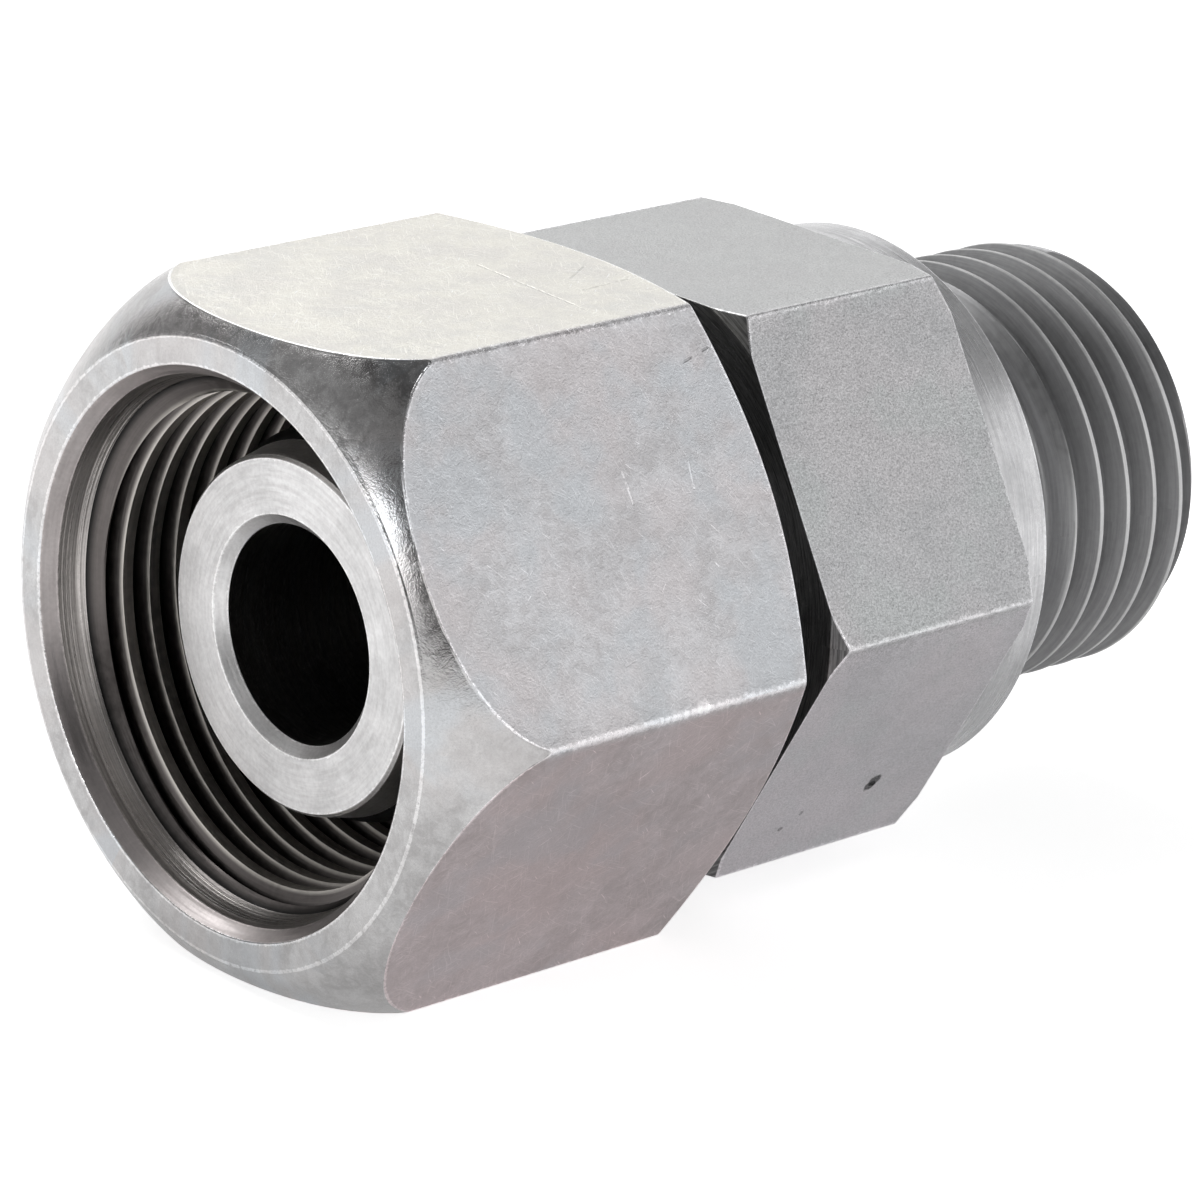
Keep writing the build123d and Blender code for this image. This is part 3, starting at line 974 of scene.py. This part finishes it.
nut_colours = Plating(
    light=(0.69, 0.69, 0.71),
    dark=(0.52, 0.51, 0.52),
    warm=(0.63, 0.585, 0.59),
    cool=(0.57, 0.6, 0.63),
    # Painted light: a paler upper flat and shaded lower flats
    upper=(0.87, 0.85, 0.79),
    lower=(0.93, 0.84, 0.83),
    grain_size=0.1 * MM,
    grain_strength=0.07,
    grain_on_front=1.0,
    scratch_strength=0.5,
    roughness=0.36,
    relief=0.018 * MM,
    chipping=3.0,
)
body_colours = Plating(
    light=(0.55, 0.55, 0.56),
    dark=(0.47, 0.47, 0.48),
    warm=(0.55, 0.53, 0.54),
    cool=(0.5, 0.52, 0.52),
    # Painted light: a paler upper flat and lifted lower flats
    upper=(0.6, 0.605, 0.605),
    lower=(1.2, 1.17, 1.19),
    grain_size=0.095 * MM,
    grain_strength=0.17,
    grain_on_front=1.7,
    scratch_strength=0.0,
    roughness=0.4,
    relief=0.022 * MM,
    chipping=1.5,
)

# Spots: centre, size and shade. Scratches: start, end and shade
BODY_MARKS = (
    ((-7.28 * MM, -10.0 * MM, -9.68 * MM), 0.75 * MM, -0.8),
    ((-7.48 * MM, -9.82 * MM, -10.0 * MM), 0.65 * MM, -0.8),
    ((-12.38 * MM, -9.11 * MM, -11.23 * MM), 0.3 * MM, -0.5),
    ((-11.5 * MM, -9.53 * MM, -10.5 * MM), 0.28 * MM, -0.4),
)
NUT_MARKS = (((-25.4 * MM, -17.3 * MM, 0.1 * MM), 0.75 * MM, 0.3),)
TOP_LONG_SCRATCH = ((-23.3 * MM, 1.0 * MM, 15.0 * MM), (-23.8 * MM, -6.7 * MM, 15.0 * MM), -0.18)
TOP_REAR_SCRATCH = ((-21.9 * MM, -4.5 * MM, 15.0 * MM), (-19.1 * MM, -4.3 * MM, 15.0 * MM), -0.2)
TOP_SHORT_SCRATCH = ((-21.3 * MM, -2.9 * MM, 15.0 * MM), (-19.5 * MM, -1.8 * MM, 15.0 * MM), -0.18)
SIDE_REAR_SCRATCH = ((-20.75 * MM, -9.87 * MM, 12.91 * MM), (-19.03 * MM, -9.65 * MM, 13.28 * MM), -0.35)
SIDE_FIRST_NICK = ((-25.92 * MM, -11.92 * MM, 9.36 * MM), (-25.84 * MM, -12.62 * MM, 8.14 * MM), 0.45)
SIDE_SECOND_NICK = ((-22.16 * MM, -12.02 * MM, 9.18 * MM), (-22.27 * MM, -12.6 * MM, 8.18 * MM), 0.45)
NUT_GOUGES = (
    TOP_LONG_SCRATCH,
    TOP_REAR_SCRATCH,
    TOP_SHORT_SCRATCH,
    SIDE_REAR_SCRATCH,
    SIDE_FIRST_NICK,
    SIDE_SECOND_NICK,
)

nut_plating = plated_finish("nut_plating", nut_colours, NUT_HALF_FLATS, NUT_MARKS, NUT_GOUGES)
body_plating = plated_finish("body_plating", body_colours, BODY_HALF_FLATS, BODY_MARKS)
rounding_colours = replace(
    nut_colours,
    light=(0.62, 0.615, 0.615),
    dark=(0.44, 0.43, 0.43),
    warm=(0.58, 0.55, 0.545),
    scratch_strength=0.0,
    roughness=0.21,
    relief=0.009 * MM,
    chipping=4.0,
)
nut_rounding = plated_finish("nut_rounding", rounding_colours, NUT_HALF_FLATS, on_flats=False)
turned_steel = turned_finish("turned_steel", (0.69, 0.69, 0.7), (0.56, 0.56, 0.57), 0.12 * MM, 0.3)
# Dark copy of the turned steel for the hexagon's front face and chamfer: painted shade in the gap behind the
# nut.
shaded_hex_face_steel = turned_finish("shaded_hex_face_steel", (0.3, 0.3, 0.3), (0.1, 0.1, 0.1), 0.1 * MM, 0.4)
recess_steel = turned_finish(
    "recess_steel", (0.62, 0.59, 0.57), (0.28, 0.26, 0.25), 0.2 * MM, 0.32, 0.03 * MM, evenness=6.0)
mouth_steel = turned_finish(
    "mouth_steel", (0.47, 0.435, 0.43), (0.42, 0.385, 0.38), 0.25 * MM, 0.38, 0.004 * MM)
nipple_steel = turned_finish(
    "nipple_steel", (0.76, 0.755, 0.755), (0.7, 0.69, 0.69), 0.16 * MM, 0.4, 0.005 * MM)
# Dark copy of the turned steel for the bore: painted shade inside it.
shaded_bore_steel = turned_finish("shaded_bore_steel", (0.3, 0.29, 0.28), (0.12, 0.12, 0.12), 0.3 * MM, 0.35)
# Flank and root colours of both threads are painted shade; the crests are burnished.
nut_thread = thread_finish(
    "nut_thread", (0.6, 0.57, 0.53), (0.16, 0.145, 0.14), (0.02, 0.02, 0.02), 0.72, 0.34)
stud_thread = thread_finish(
    "stud_thread", (0.62, 0.62, 0.62), (0.36, 0.36, 0.365), (0.27, 0.27, 0.275), 0.93, 0.5)

thread_turns = thread_tree()
nut = make_nut(thread_turns, nut_plating, nut_rounding, turned_steel, mouth_steel, recess_steel, nut_thread)
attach(nut, "swivel_nut")
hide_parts("swivel_nut")

body = make_body(
    thread_turns, body_plating, turned_steel, shaded_hex_face_steel, nipple_steel, shaded_bore_steel, stud_thread)
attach(body, "stud_body")
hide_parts("stud_body")

dress("cone_oring", rubber_finish())
dress("retaining_ring", wire_finish())

make_floor()
make_world()
make_lamp("top_panel", *TOP_PANEL)
make_lamp("key_panel", *KEY_PANEL)
make_lamp("side_panel", *SIDE_PANEL)
make_camera()
bpy.context.scene.view_settings.view_transform = "Standard"
